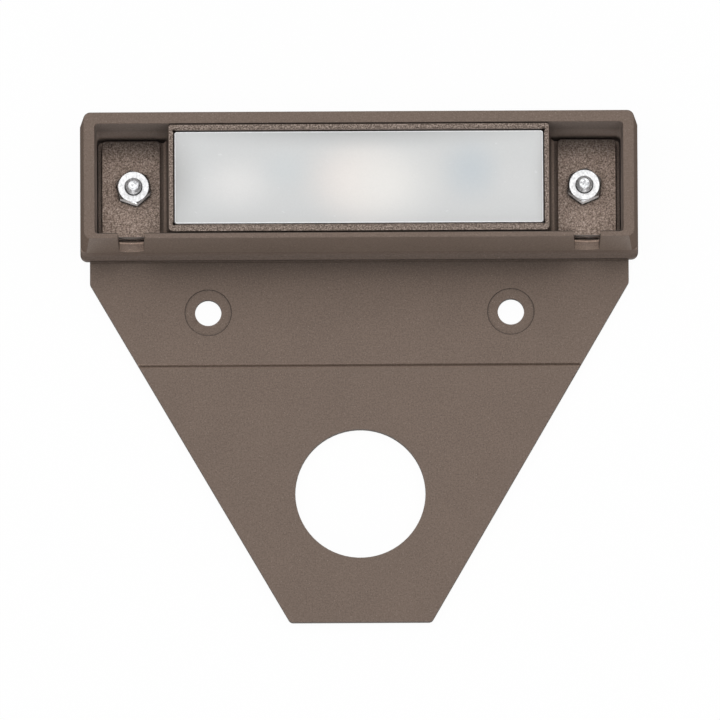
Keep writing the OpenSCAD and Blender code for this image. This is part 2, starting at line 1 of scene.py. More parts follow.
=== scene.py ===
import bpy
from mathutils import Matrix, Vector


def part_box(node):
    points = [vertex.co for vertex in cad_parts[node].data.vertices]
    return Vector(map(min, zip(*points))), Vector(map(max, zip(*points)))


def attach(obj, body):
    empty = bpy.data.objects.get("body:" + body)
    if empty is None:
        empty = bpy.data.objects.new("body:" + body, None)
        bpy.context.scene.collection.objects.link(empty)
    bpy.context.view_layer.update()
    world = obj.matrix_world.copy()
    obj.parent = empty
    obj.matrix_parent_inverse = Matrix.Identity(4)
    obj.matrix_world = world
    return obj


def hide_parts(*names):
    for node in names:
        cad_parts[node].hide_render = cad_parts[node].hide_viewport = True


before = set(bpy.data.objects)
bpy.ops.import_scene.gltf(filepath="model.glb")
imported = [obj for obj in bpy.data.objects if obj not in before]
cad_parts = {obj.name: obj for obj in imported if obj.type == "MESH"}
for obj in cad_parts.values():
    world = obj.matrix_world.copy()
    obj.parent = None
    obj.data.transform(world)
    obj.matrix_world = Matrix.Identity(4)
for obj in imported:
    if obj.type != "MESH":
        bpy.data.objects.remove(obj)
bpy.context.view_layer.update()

import math

import bmesh
import bpy
from mathutils import Matrix, Vector

MM = 0.001
ROOT = "light"

# Camera: mm in a pixel, pixels across, tilt off straight down, roll, focal length and sensor in mm,
# and the point in the middle of the picture
MM_PER_PIXEL = 0.2273
PICTURE = 720
TILT = math.radians(9.5)
ROLL = math.radians(-0.28)
LENS = 1500
SENSOR = 36
AIM = Vector((0.05, -12.41, 10.0)) * MM

# Meshes: points this close are one, faces this near to level are one, and what rounding leaves
# that is narrower than this goes
SAME_POINT = 0.0005 * MM
SAME_PLANE = math.radians(0.6)
SLIVER = 0.0008 * MM

# Rounded edges, in mm
RIM_ROUND = 0.2
CASTING_ROUND = 0.1
CARRIER_ROUND = 0.14
LENS_ROUND = 0.3
NUT_ROUND = 0.08

# Places on the casting, in mm: a half length along X, a level, or a band from, to. The seam is
# where the walls meet the plate, CORNER is how far the rounded ends reach, and the plate's
# details are its grooves and flats
RIM_INSIDE_X, RIM_INSIDE_Y = 61.2, (15, 41.2)
LIP_EDGE_Y = (15.2, 15.9)
NOTCH_Y, NOTCH_Z = (13, 16.8), (4.7, 6.3)
TRAY_X, TRAY_Y, TRAY_FLOOR = 60.3, (15.3, 40.9), 2.2
WALL_Y, WALL_FOOT = (10, 16), 4.9
COVE_Y, COVE_Z = (10, 14.5), (2.3, 4.9)
SEAM_Z, SEAM_LENGTH = (2.3, 2.5), 3
CORNER = 3.5
GROOVE_Z = (1.2, 1.99)
FOOT_GROOVE_Y, SCORE_LINE_Y = (11.0, 12.6), (-12.8, -11.6)
PLATE_DETAIL_Y, PLATE_DETAIL_Z = 11, (1.2, 1.995)

# Places on the lamp carrier, in mm: the ears' front edge, their end beside the frame and their
# outer sides, the frame's sides and the grooves beside them, the level above its foot, the
# lowest edge that is rounded, and where its textured top starts
EAR_FRONT = 38.8
EAR_END = 45.2
EAR_SIDE = 57
FRAME_SIDE_X = (43, 44.4)
FRAME_GROOVE_X = (43, 46)
CARRIER_FOOT = 2.4
ROUND_ABOVE = 2.6
FRAME_TOP = 18

# The stud, in mm: head, plain shank, thread and chamfered end
STUD_HEAD = 1.1
HEAD_OVERLAP = 0.2
PLAIN_SHANK = 1.4
STUD_RADIUS = 1.86
THREAD_DEPTH = 0.36
PITCH = 0.7
END_CHAMFER = 0.75

# The thread's cross-section, as shares of its depth: the slope of its flanks, and the negative
# start that leaves its crests flat
FLANK = 1.3
CREST = -0.12


def scene_tree(owner):
    """The empty node tree of a material or world."""
    owner.use_nodes = True
    owner.node_tree.nodes.clear()
    return owner.node_tree


def add(tree, kind, inputs=None, **settings):
    """A node with its settings; an input is a value, or a socket to link from."""
    node = tree.nodes.new(kind)
    for key, value in settings.items():
        setattr(node, key, value)
    for key, value in (inputs or {}).items():
        if isinstance(value, bpy.types.NodeSocket):
            tree.links.new(value, node.inputs[key])
        else:
            node.inputs[key].default_value = value
    return node


def grain(tree, size, detail=2.0, roughness=0.5, offset=(0, 0, 0)):
    """Noise on object coordinates whose features are about size mm across."""
    coords = add(tree, "ShaderNodeTexCoord")
    place = add(tree, "ShaderNodeMapping", {"Vector": coords.outputs["Object"], "Location": offset})
    noise = add(tree, "ShaderNodeTexNoise", {
        "Vector": place.outputs["Vector"], "Scale": 1 / (size * MM),
        "Detail": detail, "Roughness": roughness})
    return noise.outputs["Fac"]


def ramp(tree, factor, stops):
    """A colour ramp with (position, colour) stops; a grey can be one number."""
    node = add(tree, "ShaderNodeValToRGB", {"Fac": factor})
    points = node.color_ramp.elements
    while len(points) < len(stops):
        points.new(1)
    for point, (position, colour) in zip(points, stops):
        point.position = position
        point.color = (*colour, 1) if isinstance(colour, tuple) else (colour, colour, colour, 1)
    return node.outputs["Color"]


def mix(tree, factor, first, second, blend="MIX"):
    """Two colours mixed by a factor."""
    node = add(tree, "ShaderNodeMix", data_type="RGBA", blend_type=blend)
    for index, value in ((0, factor), (6, first), (7, second)):
        if isinstance(value, bpy.types.NodeSocket):
            tree.links.new(value, node.inputs[index])
        else:
            node.inputs[index].default_value = (*value, 1) if isinstance(value, tuple) else value
    return node.outputs[2]


def times(tree, colour, factor):
    """The colour multiplied by a factor or another colour."""
    return mix(tree, 1.0, colour, factor, "MULTIPLY")


def bump(tree, height, depth, strength=1.0, under=None):
    """A normal from a height map whose full step is depth mm."""
    inputs = {"Height": height, "Distance": depth * MM, "Strength": strength}
    if under is not None:
        inputs["Normal"] = under
    return add(tree, "ShaderNodeBump", inputs).outputs["Normal"]


def finish_of(name, **sockets):
    """A material with a Principled shader, and its tree and shader."""
    material = bpy.data.materials.new(name)
    tree = scene_tree(material)
    shader = add(tree, "ShaderNodeBsdfPrincipled", {
        key.replace("_", " "): value for key, value in sockets.items()})
    add(tree, "ShaderNodeOutputMaterial", {"Surface": shader.outputs["BSDF"]})
    return material, tree, shader


def feed(tree, shader, **sockets):
    """Links each socket to the shader's input of that name."""
    for key, socket in sockets.items():
        tree.links.new(socket, shader.inputs[key.replace("_", " ")])


def creases(tree, colour, reach, dark, low=0.3, high=0.85):
    """Painted shade: the colour darkened in corners, grooves and gaps narrower than about reach mm.
    """
    open_sky = add(tree, "ShaderNodeAmbientOcclusion", {"Distance": reach * MM}, samples=8)
    return times(tree, colour, ramp(tree, open_sky.outputs["AO"], [(low, dark), (high, 1.0)]))


def tinted(colour, gain):
    """The colour times one gain, or times one for each channel."""
    gains = gain if isinstance(gain, tuple) else (gain, gain, gain)
    return tuple(min(1.0, channel * one) for channel, one in zip(colour, gains))


def along(tree, axis, start, end, first, last=1.0):
    """A factor that runs evenly from first to last between two places in mm on an axis."""
    coords = add(tree, "ShaderNodeTexCoord")
    parts = add(tree, "ShaderNodeSeparateXYZ", {"Vector": coords.outputs["Object"]})
    return add(tree, "ShaderNodeMapRange", {
        "Value": parts.outputs[axis], "From Min": start * MM, "From Max": end * MM,
        "To Min": first, "To Max": last}).outputs["Result"]


# Painted shade in fine creases: reach in mm, how dark, and the open sky at which the painted shade
# starts and ends
CREASE = (0.7, 0.28, 0.3, 0.85)
SOFT_CREASE = (0.7, 0.4, 0.3, 0.85)
TRAY_CREASE = (0.35, 0.3, 0.35, 0.75)
EAR_CREASE = (0.9, 0.03, 0.68, 0.8)
NARROW = (0.6, 0.05, 0.62, 0.86)
SLIGHT = (0.25, 0.6, 0.4, 0.8)
NONE = (0.25, 1.0, 0.4, 0.8)


def bronze_paint(name, gain=1.0, shade=0.5, shade_reach=9, gloss=0.3, edge=CREASE, lifts=()):
    """Fine metallic bronze: a soft mottle, a few bright flakes, and painted shade beside tall walls
    and in creases.

    gain brightens the colour, shade is how dark the painted shade gets within shade_reach mm of a
    wall, edge is the painted shade in fine creases, and each of lifts is a change of brightness
    along an axis: painted light where it brightens and painted shade where it darkens.
    """
    material, tree, shader = finish_of(name, Metallic=0.1, Specular_IOR_Level=gloss)
    base = ramp(tree, grain(tree, 0.34, 3.0, 0.7), [
        (0.3, tinted((0.112, 0.081, 0.063), gain)), (0.5, tinted((0.152, 0.111, 0.088), gain)),
        (0.72, tinted((0.194, 0.143, 0.115), gain))])
    colour = times(tree, base, ramp(tree, grain(tree, 9, 2.0), [(0.3, 0.95), (0.7, 1.0)]))
    flakes = ramp(tree, grain(tree, 0.22, 0.0, 0.5, (0.3, 0.1, 0.7)), [(0.76, 0.0), (0.82, 1.0)])
    colour = mix(tree, flakes, colour, tinted((0.28, 0.222, 0.186), gain))
    # Painted light and shade along an axis
    for lift in lifts:
        colour = times(tree, colour, along(tree, *lift))
    # Painted shade in fine creases; below it, painted shade beside tall walls
    reach, dark, low, high = edge
    colour = creases(tree, colour, reach, dark, low, high)
    waves = bump(tree, grain(tree, 2.4, 1.0), 0.015, 0.5)
    feed(tree, shader, Base_Color=creases(tree, colour, shade_reach, shade, 0.45, 0.93),
         Roughness=ramp(tree, grain(tree, 0.5, 2.0), [(0.3, 0.55), (0.7, 0.72)]),
         Normal=bump(tree, grain(tree, 0.3, 2.0), 0.015, 0.5, waves))
    return material


def bronze_texture(name, gain=1.0, spread=1.0, crease=(0.7, 0.2, 0.3, 0.85), shade=None):
    """Coarse wrinkled bronze: rounded grains, lighter on top with dark pits between them, partly
    the paint's own tone and partly painted light and shade, and painted shade in creases.

    A small spread makes the grains harsh; crease is the painted shade in creases, and shade is
    painted
    shade: a change of brightness along an axis.
    """
    material, tree, shader = finish_of(name, Metallic=0.15, Specular_IOR_Level=0.35)
    lumps = grain(tree, 0.34, 2.0, 0.6, (0.2, 0.5, 0.1))
    # Lighter grain tops and darker pits: partly the paint's own tone, partly painted light and
    # shade
    colour = ramp(tree, lumps, [
        (0.5 + spread * place, tinted(stop, gain)) for place, stop in (
            (-0.2, (0.06, 0.043, 0.033)), (-0.05, (0.15, 0.111, 0.089)),
            (0.08, (0.215, 0.165, 0.136)), (0.24, (0.36, 0.29, 0.25)))])
    # Painted shade along an axis
    if shade:
        colour = times(tree, colour, along(tree, *shade))
    # Painted shade in creases
    reach, dark, low, high = crease
    warm_dark = (dark, dark * 0.9, dark * 0.85)
    pores = bump(tree, grain(tree, 0.2, 1.0), 0.02, 0.6)
    feed(tree, shader, Base_Color=creases(tree, colour, reach, warm_dark, low, high),
         Roughness=ramp(tree, lumps, [(0.3, 0.75), (0.7, 0.45)]),
         Normal=bump(tree, lumps, 0.2, 0.8, pores))
    return material


def plated(name, low, high, roughness, metallic=0.5, size=0.5, squeeze=6, reach=0.6):
    """Plating or bright steel: fine turning streaks round Z, faint clouds, painted shade in its
    corners.
    """
    material, tree, shader = finish_of(name, Metallic=metallic, Specular_IOR_Level=0.4)
    coords = add(tree, "ShaderNodeTexCoord")
    stretched = add(tree, "ShaderNodeMapping", {
        "Vector": coords.outputs["Object"], "Scale": (1, 1, squeeze)})
    streaks = add(tree, "ShaderNodeTexNoise", {
        "Vector": stretched.outputs["Vector"], "Scale": 1 / (size * MM), "Detail": 3.0})
    streaks = streaks.outputs["Fac"]
    colour = ramp(tree, streaks, [(0.32, low), (0.62, high)])
    clouds = grain(tree, 0.8, 2.0)
    # Painted shade in the corners
    feed(tree, shader, Base_Color=creases(tree, colour, reach, (0.12, 0.12, 0.12)),
         Roughness=ramp(tree, clouds, [(0.3, roughness * 0.8), (0.7, roughness * 1.3)]),
         Normal=bump(tree, streaks, 0.012, 0.6))
    return material


# Painted light and shade on the frosted glass, in soft clouds tinted by the parts behind it:
# lighter in the middle, darker along the front edge and at the ends. Middle and half sizes in mm,
# colour, strength; and how far each reaches up and down
LENS_CLOUDS = [
    ((-1, 27.6, 19), (15, 13), (0.93, 0.85, 0.8), 0.75),
    ((6, 26.6, 19), (17, 14), (0.9, 0.885, 0.855), 0.8),
    ((-28, 26.8, 19), (12, 9), (0.84, 0.83, 0.82), 0.75),
    ((-17, 30.3, 19), (8, 7), (0.66, 0.70, 0.715), 0.5),
    ((25.5, 30.0, 19), (9, 10), (0.575, 0.625, 0.66), 0.85),
    ((36, 26.8, 19), (8, 7), (0.73, 0.73, 0.73), 0.4),
    ((0, 41.5, 19), (60, 8), (0.41, 0.42, 0.42), 0.9),
    ((-43.5, 28, 19), (9, 16), (0.45, 0.45, 0.445), 0.78),
    ((43.5, 28, 19), (5, 16), (0.5, 0.5, 0.5), 0.6),
]
CLOUD_HEIGHT = 20


def frosted_glass():
    """Etched glass: painted light and shade in soft clouds tinted by the parts behind it, fine
    grain and stray specks.
    """
    material, tree, shader = finish_of("frosted_glass", IOR=1.5, Transmission_Weight=0.12)
    coords = add(tree, "ShaderNodeTexCoord")
    colour = (0.68, 0.69, 0.69)
    # Painted light and shade, cloud by cloud
    for middle, half, tint, strength in LENS_CLOUDS:
        scale = (1 / (half[0] * MM), 1 / (half[1] * MM), 1 / (CLOUD_HEIGHT * MM))
        place = add(tree, "ShaderNodeMapping", {
            "Vector": coords.outputs["Object"], "Scale": scale,
            "Location": tuple(-m * MM * s for m, s in zip(middle, scale))})
        ball = add(tree, "ShaderNodeTexGradient", {"Vector": place.outputs["Vector"]},
                   gradient_type="SPHERICAL")
        soft = add(tree, "ShaderNodeMapRange", {"Value": ball.outputs["Fac"], "To Max": strength},
                   interpolation_type="SMOOTHSTEP")
        colour = mix(tree, soft.outputs["Result"], colour, tint)
    fine = ramp(tree, grain(tree, 0.4, 3.0, 0.7), [(0.3, 0.965), (0.7, 1.0)])
    specks = ramp(tree, grain(tree, 1.1, 0.0), [(0.82, 0.0), (0.86, 0.25)])
    feed(tree, shader,
         Base_Color=mix(tree, specks, times(tree, colour, fine), (0.93, 0.94, 0.95)),
         Roughness=ramp(tree, grain(tree, 0.5, 2.0), [(0.3, 0.38), (0.7, 0.52)]),
         Normal=bump(tree, grain(tree, 0.25, 2.0), 0.02, 0.4))
    return material


def glass_edge():
    """The ground edge of the glass, painted near white as a highlight."""
    material, tree, shader = finish_of("glass_edge", IOR=1.5)
    feed(tree, shader,
         Base_Color=ramp(tree, grain(tree, 0.5, 2.0), [
             (0.3, (0.86, 0.88, 0.9)), (0.7, (0.97, 0.98, 0.99))]),
         Roughness=ramp(tree, grain(tree, 0.4, 1.0), [(0.3, 0.25), (0.7, 0.4)]))
    return material


def moulded(name, dark, light, roughness, size=0.5, depth=0.01, metallic=0.0):
    """Moulded, cast or pressed stuff: a fine two-tone grain, uneven gloss and a light texture."""
    material, tree, shader = finish_of(name, Specular_IOR_Level=0.5, Metallic=metallic)
    height = grain(tree, size, 3.0, 0.6)
    clouds = grain(tree, size * 3, 2.0)
    feed(tree, shader, Base_Color=ramp(tree, height, [(0.3, dark), (0.7, light)]),
         Roughness=ramp(tree, clouds, [(0.3, roughness * 0.85), (0.7, roughness * 1.15)]),
         Normal=bump(tree, height, depth, 0.7))
    return material


def solder_mask():
    """White solder mask with the raised run of the copper under it."""
    material, tree, shader = finish_of("board_mask", Specular_IOR_Level=0.5, Coat_Weight=0.2)
    coords = add(tree, "ShaderNodeTexCoord")
    place = add(tree, "ShaderNodeMapping", {
        "Vector": coords.outputs["Object"], "Scale": (1 / (9 * MM), 1 / (3.4 * MM), 0)})
    tracks = add(tree, "ShaderNodeTexBrick", {
        "Vector": place.outputs["Vector"], "Scale": 1.0, "Mortar Size": 0.07,
        "Mortar Smooth": 0.3, "Color1": (1, 1, 1, 1), "Color2": (1, 1, 1, 1),
        "Mortar": (0, 0, 0, 1)}, offset=0.5)
    raised = tracks.outputs["Color"]
    feed(tree, shader,
         Base_Color=ramp(tree, raised, [(0.0, (0.62, 0.63, 0.6)), (1.0, (0.82, 0.82, 0.8))]),
         Roughness=ramp(tree, grain(tree, 1.2), [(0.3, 0.28), (0.7, 0.4)]),
         Normal=bump(tree, raised, 0.03, 0.8))
    return material


def phosphor():
    """A clear coat over mottled yellow phosphor."""
    material, tree, shader = finish_of(
        "phosphor", IOR=1.45, Coat_Weight=0.8, Transmission_Weight=0.2)
    feed(tree, shader,
         Base_Color=ramp(tree, grain(tree, 0.3, 3.0), [
             (0.3, (0.78, 0.52, 0.06)), (0.7, (0.95, 0.72, 0.18))]),
         Roughness=ramp(tree, grain(tree, 0.6), [(0.3, 0.12), (0.7, 0.22)]))
    return material


# Bronze paint of the casting in copies for each kind of face, most of them brightened or darkened
# as painted light and shade
# The plate and other open faces: painted shade near the tall walls and in creases
bronze = bronze_paint("bronze_paint", shade=0.24, shade_reach=10, edge=SOFT_CREASE)
# The back wall's outer face: slightly brightened as painted light, a little more low down
wall_bronze = bronze_paint("bronze_back_wall", (1.04, 1.07, 1.08), 1.0, edge=SLIGHT,
                           lifts=[("Z", 5, 13, 1.03, 1.0)])
# The cove at the wall's foot: darkened as painted shade, less so higher up
cove_bronze = bronze_paint("bronze_cove", (0.66, 0.65, 0.65), 1.0, edge=SLIGHT,
                           lifts=[("Z", 2.8, 3.9, 1.0, 1.32)])
# Grooves in the plate: brightened as painted light against the shade in them, the score lines most
score_bronze = bronze_paint("bronze_score_lines", 1.0, 0.6, 10, edge=SLIGHT,
                            lifts=[("Y", 0, 5, 1.55, 1.1)])
# The inner edge of the back lip: darkened as painted shade
shaded_bronze = bronze_paint("bronze_lip_edge", 0.3)
# The notch floor: brightened as painted light, with a painted highlight along its inner edge
open_bronze = bronze_paint("bronze_notch_floor", 1.65, 0.8, 6,
                           lifts=[("Y", 15.3, 15.5, 1.0, 2.2)])
# Rounded edges in the notches that face up and towards the lamp carrier: a painted highlight
sill_bronze = bronze_paint("bronze_bright_edges", 5.0, 1.0, edge=SLIGHT)
# Tray walls and the carrier's lower faces: brightened as painted light, most at about 7 mm up, and
# darkened at the foot as painted shade
tray_bronze = bronze_paint("bronze_tray_walls", (1.16, 1.28, 1.4), 1.0, edge=TRAY_CREASE,
                           lifts=[("Z", 7.5, 13.5, 2.3, 1.05), ("Z", 4.0, 6.5, 0.3, 1.0)])
# Floors at the bottom of the tray's gaps: brightened strongly as painted light
floor_bronze = bronze_paint("bronze_floors", (3.3, 3.5, 3.7), 1.0, edge=NARROW)
end_bronze = bronze_paint("bronze_end_walls", 0.95, 0.8, 6, gloss=0.0)

# Bronze paint and texture of the lamp carrier, in copies brightened or darkened as painted light
# and shade
# Steps beside the frame: brightened as painted light
step_bronze = bronze_paint("bronze_steps", 1.55, 0.85, 3)
# The frame's sides and the ears' outer ends: darkened as painted shade
dark_bronze = bronze_paint("bronze_dark_sides", 0.5, 1.0)
# Groove floors beside the frame: brightened as painted light
groove_bronze = bronze_paint("bronze_grooves", (1.6, 1.65, 1.7), 1.0, edge=SLIGHT)
# The ears' back edges: brightened as painted light, most low down
ear_edge_bronze = bronze_paint("bronze_ear_edges", (1.15, 1.35, 1.55), 1.0, edge=NONE,
                               lifts=[("Z", 3.5, 5.4, 6.5, 1.35)])
texture = bronze_texture("bronze_texture", 1.0, 0.6)
# The ears' tops: brightened as painted light, with a painted shadow of the front wall along their
# front edge and near-black painted shade round the nuts
ear_texture = bronze_texture("bronze_ear_texture", 1.7, 1.0, EAR_CREASE,
                             ("Y", EAR_FRONT, EAR_FRONT - 5, 0.26))

# Nuts and studs
zinc = plated("zinc", (0.48, 0.48, 0.485), (0.73, 0.73, 0.735), 0.35)
zinc_chamfer = plated("zinc_chamfer", (0.5, 0.5, 0.51), (0.85, 0.86, 0.87), 0.2, 1.0)
# The nut's flats: lighter than its top, a painted reflection
zinc_flats = plated("zinc_flats", (0.85, 0.85, 0.86), (1.0, 1.0, 1.0), 0.5, 0.1, 0.45, 3, 0.3)
# The narrow roundings beside the nut's top and bottom: near black, painted shade
zinc_line = plated("zinc_line", (0.06, 0.06, 0.06), (0.16, 0.16, 0.16), 0.4)
steel = plated("steel", (0.42, 0.43, 0.44), (0.72, 0.73, 0.74), 0.3, 0.8)
thread_steel = plated("thread_steel", (0.22, 0.22, 0.225), (0.8, 0.8, 0.81), 0.45, 0.5,
                      0.45, 3, 0.3)
stud_end = plated("stud_end", (0.25, 0.25, 0.26), (0.82, 0.83, 0.84), 0.4, 0.4, 0.5, 1)

# Glass and rubber
glass = frosted_glass()
# The bevel round the glass's face: near white, a painted highlight
edge_glass = glass_edge()
# The sides of the glass: near black, painted shade
side_glass = moulded("glass_side", (0.03, 0.03, 0.032), (0.06, 0.06, 0.064), 0.4, 0.3, 0.004)
rubber = moulded("black_rubber", (0.012, 0.012, 0.012), (0.03, 0.03, 0.03), 0.62, 0.3, 0.015)

# Inner pieces
white_plastic = moulded("white_plastic", (0.8, 0.8, 0.78), (0.88, 0.88, 0.87), 0.35, 0.8, 0.006)
mask = solder_mask()
ceramic = moulded("led_base", (0.72, 0.69, 0.6), (0.82, 0.8, 0.72), 0.5, 0.15, 0.004)
yellow = phosphor()
epoxy = moulded("black_epoxy", (0.012, 0.012, 0.013), (0.028, 0.028, 0.03), 0.48, 0.12, 0.008)
ferrite = moulded("ferrite", (0.03, 0.03, 0.032), (0.065, 0.065, 0.07), 0.42, 0.2)
tan = moulded("tan_ceramic", (0.33, 0.2, 0.1), (0.42, 0.27, 0.15), 0.42, 0.2, 0.006)
ivory = moulded("ivory_plastic", (0.72, 0.67, 0.52), (0.8, 0.76, 0.62), 0.38, 0.5, 0.005)
pad_pink = moulded("heat_pad", (0.5, 0.27, 0.33), (0.62, 0.38, 0.44), 0.7, 0.4, 0.03)
aluminium = moulded("aluminium", (0.5, 0.51, 0.52), (0.66, 0.67, 0.68), 0.4, 0.35, 0.02, 1.0)


def merged(nodes):
    """The CAD nodes' triangles as one closed mesh, its flat areas dissolved into whole faces."""
    mesh = bmesh.new()
    for node in nodes:
        mesh.from_mesh(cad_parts[node].data)
    bmesh.ops.remove_doubles(mesh, verts=mesh.verts, dist=SAME_POINT)
    bmesh.ops.dissolve_degenerate(mesh, edges=mesh.edges, dist=SAME_POINT)
    bmesh.ops.dissolve_limit(mesh, angle_limit=SAME_PLANE, verts=mesh.verts, edges=mesh.edges)
    return mesh


def runs(edges):
    """Groups of edges that touch each other, in the order in which they are given."""
    left, groups = dict.fromkeys(edges), []
    for first in edges:
        if first not in left:
            continue
        del left[first]
        group, todo = [], [first]
        while todo:
            edge = todo.pop()
            group.append(edge)
            for other in (near for vert in edge.verts for near in vert.link_edges):
                if other in left:
                    del left[other]
                    todo.append(other)
        groups.append(group)
    return groups


def soften(mesh, width, wanted=lambda edge: True, angle=28):
    """Rounds the wanted edges that are sharper than angle, width in mm.

    It goes run by run, so that a short edge narrows only the run that it is in.
    """
    sharp = [edge for edge in mesh.edges if len(edge.link_faces) == 2
             and edge.calc_face_angle() > math.radians(angle) and wanted(edge)]
    for group in runs(sharp):
        bmesh.ops.bevel(mesh, geom=group, offset=width * MM, offset_type="OFFSET", segments=2,
                        profile=0.5, affect="EDGES", clamp_overlap=True)
    bmesh.ops.remove_doubles(mesh, verts=mesh.verts, dist=SLIVER)
    bmesh.ops.dissolve_degenerate(mesh, edges=mesh.edges, dist=SLIVER)
    return mesh


def placed(mesh, name="scratch"):
    """The mesh as an object in the scene."""
    data = bpy.data.meshes.new(name)
    mesh.to_mesh(data)
    mesh.free()
    item = bpy.data.objects.new(name, data)
    bpy.context.collection.objects.link(item)
    return item


def plain_mesh(item):
    """The object's mesh with its modifiers applied; the object goes."""
    ready = item.evaluated_get(bpy.context.evaluated_depsgraph_get())
    data = bpy.data.meshes.new_from_object(ready)
    bpy.data.objects.remove(item)
    return data


def piece(name, mesh, materials, nodes, body=ROOT, smooth=32):
    """A finished piece: shaded, dressed, riding on its body and standing for its nodes."""
    item = placed(mesh, name)
    for material in materials:
        item.data.materials.append(material)
    item.data.shade_smooth()
    item.data.set_sharp_from_angle(angle=math.radians(smooth))
    weigh = item.modifiers.new("weighted normals", "WEIGHTED_NORMAL")
    weigh.keep_sharp = True
    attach(item, body)
    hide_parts(*nodes)


def middle_of(edge):
    """The middle of an edge, in mm."""
    return (edge.verts[0].co + edge.verts[1].co) / 2 / MM


def between(value, band):
    """Whether the value lies inside the band."""
    return band[0] < value < band[1]


def paint_faces(mesh, materials, choose):
    """Each face gets the material that choose names for its middle in mm and its direction."""
    for face in mesh.faces:
        chosen = choose(face.calc_center_median() / MM, face.normal)
        face.material_index = materials.index(chosen)


def joined_casting():
    """The plate and the walls as one mesh."""
    plate = placed(merged(["base_plate"]))
    walls = placed(merged(["head_walls"]))
    join = plate.modifiers.new("join", "BOOLEAN")
    join.operation, join.solver, join.object = "UNION", "EXACT", walls
    data = plain_mesh(plate)
    bpy.data.objects.remove(walls)
    mesh = bmesh.new()
    mesh.from_mesh(data)
    bmesh.ops.remove_doubles(mesh, verts=mesh.verts, dist=SAME_POINT)
    bmesh.ops.dissolve_limit(mesh, angle_limit=SAME_PLANE, verts=mesh.verts, edges=mesh.edges)
    return mesh


def casting():
    """The plate and the walls as the one casting that they are, with its edges rounded."""
    mesh = joined_casting()
    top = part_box("head_walls")[1].z / MM
    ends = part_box("head_walls")[1].x / MM

    def rim_inside(edge):
        spot = middle_of(edge)
        return (spot.z > top - 0.05 and between(spot.y, RIM_INSIDE_Y)
                and abs(spot.x) < RIM_INSIDE_X)

    def other(edge):
        spot = middle_of(edge)
        plate_detail = spot.y < PLATE_DETAIL_Y and between(spot.z, PLATE_DETAIL_Z)
        seam = between(spot.z, SEAM_Z) and edge.calc_length() < SEAM_LENGTH * MM
        return not plate_detail and not seam

    # Each kind of face gets its copy of the paint, most of them brightened or darkened as painted
    # light and shade
    def paint(spot, way):
        side = abs(spot.x)
        if spot.z > top - 0.3 and between(spot.y, LIP_EDGE_Y) and way.y > 0.2:
            return shaded_bronze
        if between(spot.z, NOTCH_Z) and between(spot.y, NOTCH_Y) and way.z > 0.4:
            return sill_bronze if way.y > 0.1 else open_bronze
        if side < TRAY_X and between(spot.y, TRAY_Y) and TRAY_FLOOR < spot.z < top - 0.15:
            return floor_bronze if way.z > 0.9 else tray_bronze
        corner = abs(way.x) > 0.25 and spot.z > WALL_FOOT and way.z < 0.5
        if side > ends - CORNER and (abs(way.x) > 0.9 or corner):
            return end_bronze
        if way.y < -0.7 and between(spot.y, WALL_Y) and spot.z > WALL_FOOT:
            return wall_bronze
        if way.y < -0.05 and between(spot.y, COVE_Y) and between(spot.z, COVE_Z):
            return cove_bronze
        groove = between(spot.y, FOOT_GROOVE_Y) or between(spot.y, SCORE_LINE_Y)
        return score_bronze if groove and between(spot.z, GROOVE_Z) else bronze

    soften(mesh, RIM_ROUND, rim_inside, 50)
    soften(mesh, CASTING_ROUND, other, 50)
    finishes = [bronze, shaded_bronze, open_bronze, tray_bronze, floor_bronze, end_bronze,
                sill_bronze, wall_bronze, cove_bronze, score_bronze]
    paint_faces(mesh, finishes, paint)
    piece("casting", mesh, finishes, ["base_plate", "head_walls"])


def carrier():
    """The lamp carrier with its frame, steps and ears softened as the casting's are."""
    mesh = merged(["lamp_carrier"])
    ear_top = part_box("nut_left")[0].z / MM

    # Each kind of face gets its copy of the bronze, most of them brightened or darkened as painted
    # light and shade
    def paint(spot, way):
        side = abs(spot.x)
        ear = side > EAR_END
        if way.z > 0.5 and abs(spot.z - ear_top) < 0.3:
            return ear_texture if ear else step_bronze
        if ear and way.y < -0.5 and spot.z > CARRIER_FOOT:
            return ear_edge_bronze
        if (spot.z < FRAME_TOP and abs(way.x) > 0.7
                and (between(side, FRAME_SIDE_X) or side > EAR_SIDE)):
            return dark_bronze
        if way.z > 0.9 and between(side, FRAME_GROOVE_X):
            return groove_bronze
        return tray_bronze if spot.z < FRAME_TOP else texture

    soften(mesh, CARRIER_ROUND, lambda edge: middle_of(edge).z > ROUND_ABOVE)
    finishes = [texture, ear_texture, tray_bronze, step_bronze, ear_edge_bronze, dark_bronze,
                groove_bronze]
    paint_faces(mesh, finishes, paint)
    piece("carrier", mesh, finishes, ["lamp_carrier"])


def lens():
    """The glass with a ground bevel round its face, painted as a highlight, and ground sides,
    painted near black as shade.
    """
    # The bevel gets a near-white copy as a painted highlight, the sides a near-black one as painted
    # shade
    def finish(spot, way):
        tilt = abs(way.z)
        return glass if tilt > 0.999 else edge_glass if tilt > 0.1 else side_glass

    mesh = soften(merged(["lens"]), LENS_ROUND)
    finishes = [glass, edge_glass, side_glass]
    paint_faces(mesh, finishes, finish)
    piece("lens_glass", mesh, finishes, ["lens"])


